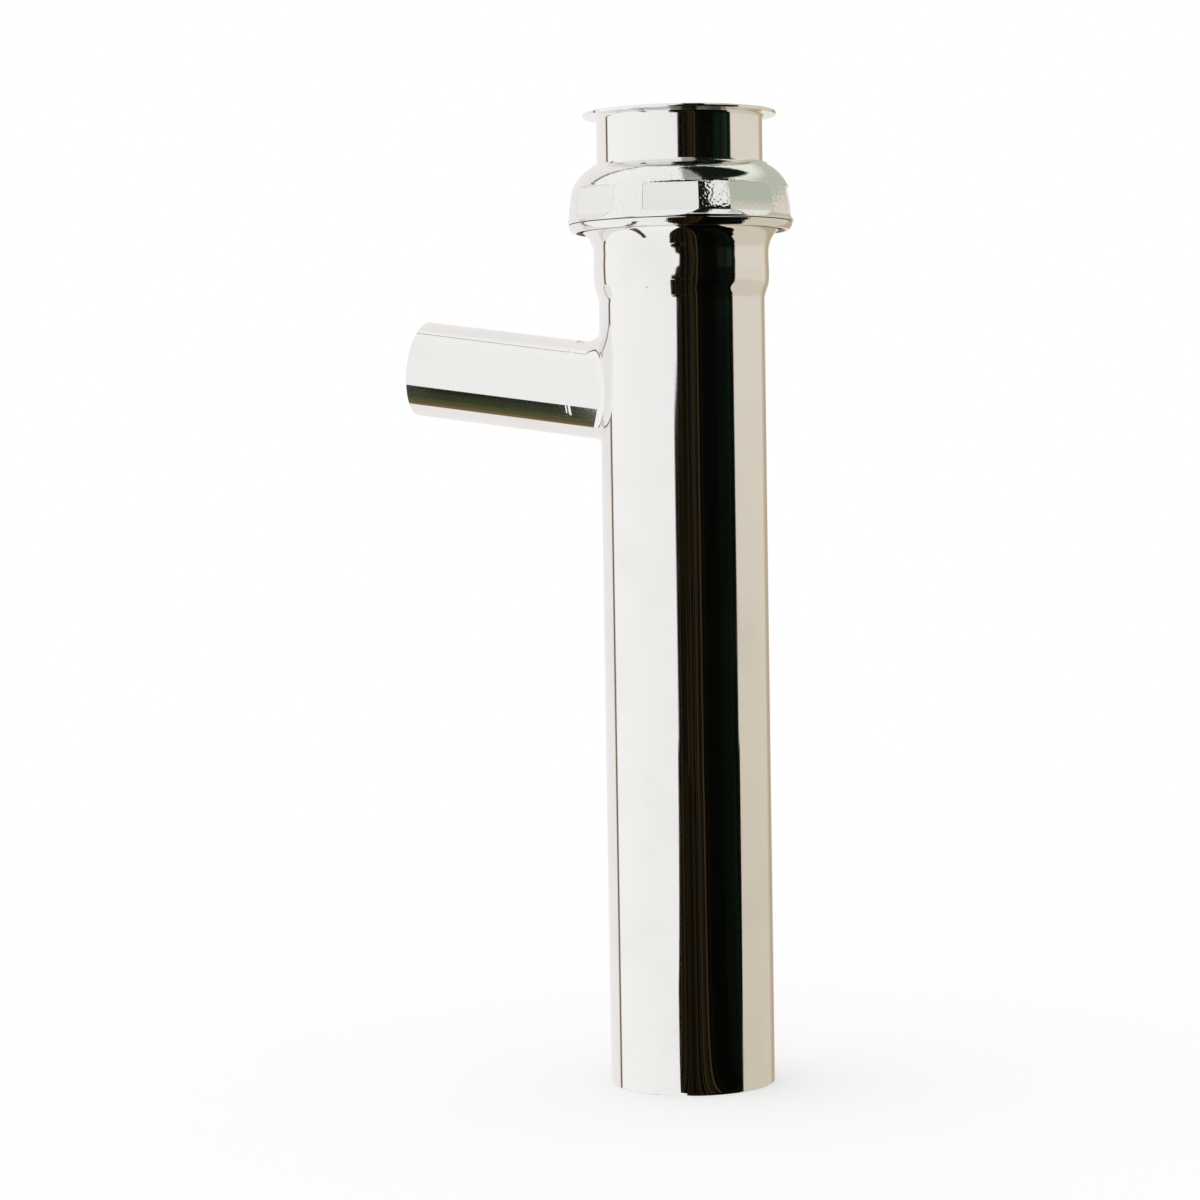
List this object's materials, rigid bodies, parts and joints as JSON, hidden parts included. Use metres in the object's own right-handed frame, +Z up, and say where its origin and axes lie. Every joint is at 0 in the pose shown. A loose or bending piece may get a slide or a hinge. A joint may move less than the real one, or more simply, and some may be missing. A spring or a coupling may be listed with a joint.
{
  "type": "branch tailpiece",
  "caption": "Chrome-plated drain tube with a side branch, a belled top held by a slip nut and a short flanged inlet tube.",
  "frame": {"origin": "centre of the drain tube's lower end, on its axis", "axes": "+Z up the tube towards the flange, -X towards the branch, Y across both"},
  "size_m": [0.092, 0.0522, 0.2237],
  "materials": {
    "plated_tube": "bright chrome plate on drawn brass tube",
    "plated_casting": "chrome plate on a cast nut, slightly duller",
    "black_rubber": "moulded black rubber"
  },
  "bodies": {
    "drain_tube": {"body_tube": "plated_tube", "branch_tube": "plated_tube", "braze_fillet": "plated_tube"},
    "washer": {"slip_washer": "black_rubber"},
    "nut": {"slip_nut": "plated_casting"},
    "inlet_tube": {"flanged_tailpiece": "plated_tube"}
  },
  "joints": [
    {"name": "nut_travel", "type": "slide", "parent": "drain_tube", "child": "washer", "axis": [0, 0, 1], "range_m": [0, 0.0061]},
    {"name": "nut_turn", "type": "hinge", "parent": "washer", "child": "nut", "pos_m": [0, 0, 0.2], "axis": [0, 0, 1], "range_deg": [0, 990]},
    {"name": "inlet_slide", "type": "slide", "parent": "drain_tube", "child": "inlet_tube", "axis": [0, 0, 1], "range_m": [0, 0.019]}
  ],
  "couplings": [
    {"joint": "nut_travel", "follows": "nut_turn", "m_per_rad": 0.00035152}
  ]
}
